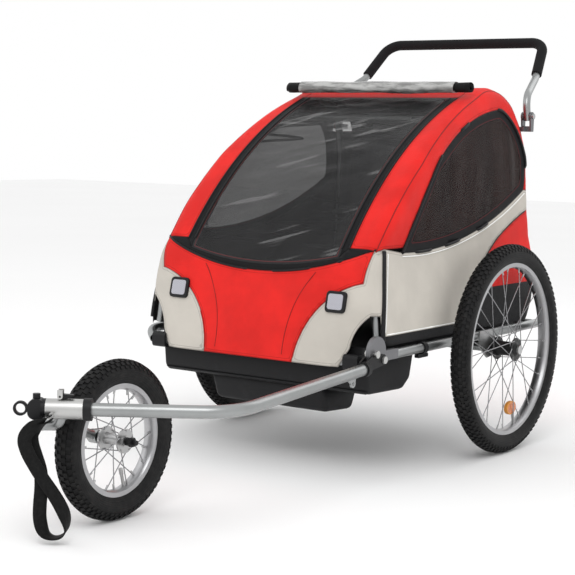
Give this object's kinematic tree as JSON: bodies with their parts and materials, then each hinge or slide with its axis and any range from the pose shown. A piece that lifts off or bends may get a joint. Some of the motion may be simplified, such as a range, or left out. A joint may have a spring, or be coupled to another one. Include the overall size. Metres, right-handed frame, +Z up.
{
  "type": "child bicycle trailer",
  "caption": "Enclosed cabin trailer for small children with a side tow arm, a front jogging wheel and a push handle at the back.",
  "frame": {"origin": "on the ground below the middle of the trailer's overall length and width, the safety strap left out", "axes": "+X to the trailer's left, -Y forwards along the towing direction, +Z up"},
  "size_m": [0.839, 1.7886, 1.0225],
  "materials": {
    "tyre": "matte knobby rubber",
    "rim": "satin",
    "spoke": "satin",
    "hub": "semi-gloss black",
    "amber": "moulded reflector",
    "silver_tube": "satin anodised",
    "black_plastic": "moulded",
    "steel": "zinc plated",
    "red_cloth": "coated woven nylon",
    "light_cloth": "coated woven nylon",
    "black_cloth": "coated woven nylon",
    "dark_film": "tinted clear film",
    "screen": "fine net",
    "piping": "white edge cord",
    "clear_roll": "rolled clear film",
    "reflector": "moulded reflector",
    "tub": "black moulded",
    "seat_cloth": "padded woven",
    "webbing": "woven webbing",
    "foam": "soft foam"
  },
  "bodies": {
    "trailer": {"base_tube_left": "silver_tube", "side_panel_left": "light_cloth", "frame_cover_left": "red_cloth", "base_tube_right": "silver_tube", "side_panel_right": "light_cloth", "frame_cover_right": "red_cloth", "cross_tubes": "silver_tube", "corner_sockets": "black_plastic", "tube_collars": "black_plastic", "axle_plates": "steel", "axle_pins": "steel", "side_bows": "silver_tube", "roof_cross_tubes": "silver_tube", "side_windows": "dark_film", "wheel_panels": "red_cloth", "corner_panels": "light_cloth", "front_panel": "red_cloth", "window_band": "black_cloth", "window_mesh": "screen", "zip_strips": "black_cloth", "roof_panel": "red_cloth", "rear_panel": "red_cloth", "corner_piping": "piping", "rain_cover_roll": "clear_roll", "front_reflectors": "reflector", "floor_tub": "tub", "seat_base": "seat_cloth", "seat_back": "seat_cloth", "harness": "webbing", "hinge_bracket": "steel", "hinge_bolts": "steel", "handle_brackets": "steel", "handle_pins": "steel"},
    "rear_wheel_left": {"rear_tyre_left": "tyre", "rear_rim_left": "rim", "rear_spokes_left": "spoke", "rear_hub_left": "hub", "wheel_reflector_left": "amber"},
    "rear_wheel_right": {"rear_tyre_right": "tyre", "rear_rim_right": "rim", "rear_spokes_right": "spoke", "rear_hub_right": "hub", "wheel_reflector_right": "amber"},
    "tow_arm": {"arm_bracket": "black_plastic", "arm_tube": "silver_tube", "sleeve_collar": "black_plastic", "arm_sleeve": "rim", "wheel_leg": "silver_tube", "front_axle": "steel", "safety_strap": "webbing"},
    "front_wheel": {"front_tyre": "tyre", "front_rim": "rim", "front_spokes": "spoke", "front_hub": "hub"},
    "latch": {"latch_lever": "black_plastic"},
    "hitch": {"hitch_block": "black_plastic", "hitch_eye": "steel"},
    "hitch_release": {"hitch_pin": "black_plastic"},
    "push_handle": {"handle_tube": "silver_tube", "handle_grip": "foam"}
  },
  "joints": [
    {"name": "rear_wheel_left_spin", "type": "hinge", "parent": "trailer", "child": "rear_wheel_left", "pos_m": [0.383, 0.42957, 0.252], "axis": [1, 0, 0], "continuous": true},
    {"name": "rear_wheel_right_spin", "type": "hinge", "parent": "trailer", "child": "rear_wheel_right", "pos_m": [-0.383, 0.42957, 0.252], "axis": [1, 0, 0], "continuous": true},
    {"name": "tow_arm_fold", "type": "hinge", "parent": "trailer", "child": "tow_arm", "pos_m": [0.345, -0.09043, 0.279], "axis": [1, 0, 0], "range_deg": [0, 110]},
    {"name": "front_wheel_spin", "type": "hinge", "parent": "tow_arm", "child": "front_wheel", "pos_m": [0.0915, -0.65143, 0.158], "axis": [1, 0, 0], "continuous": true},
    {"name": "latch_lever_lift", "type": "hinge", "parent": "tow_arm", "child": "latch", "pos_m": [0.11998, -0.83496, 0.271], "axis": [0.5608, -0.8279, 0], "range_deg": [0, 60]},
    {"name": "hitch_swivel", "type": "hinge", "parent": "tow_arm", "child": "hitch", "pos_m": [0.09846, -0.84954, 0.247], "axis": [-0.8279, -0.5608, 0], "range_deg": [-90, 90]},
    {"name": "hitch_pin_lift", "type": "slide", "parent": "hitch", "child": "hitch_release", "axis": [0, 0, 1], "range_m": [0, 0.012]},
    {"name": "handle_tilt", "type": "hinge", "parent": "trailer", "child": "push_handle", "pos_m": [0.29, 0.68557, 0.812], "axis": [1, 0, 0], "range_deg": [0, 60]}
  ]
}
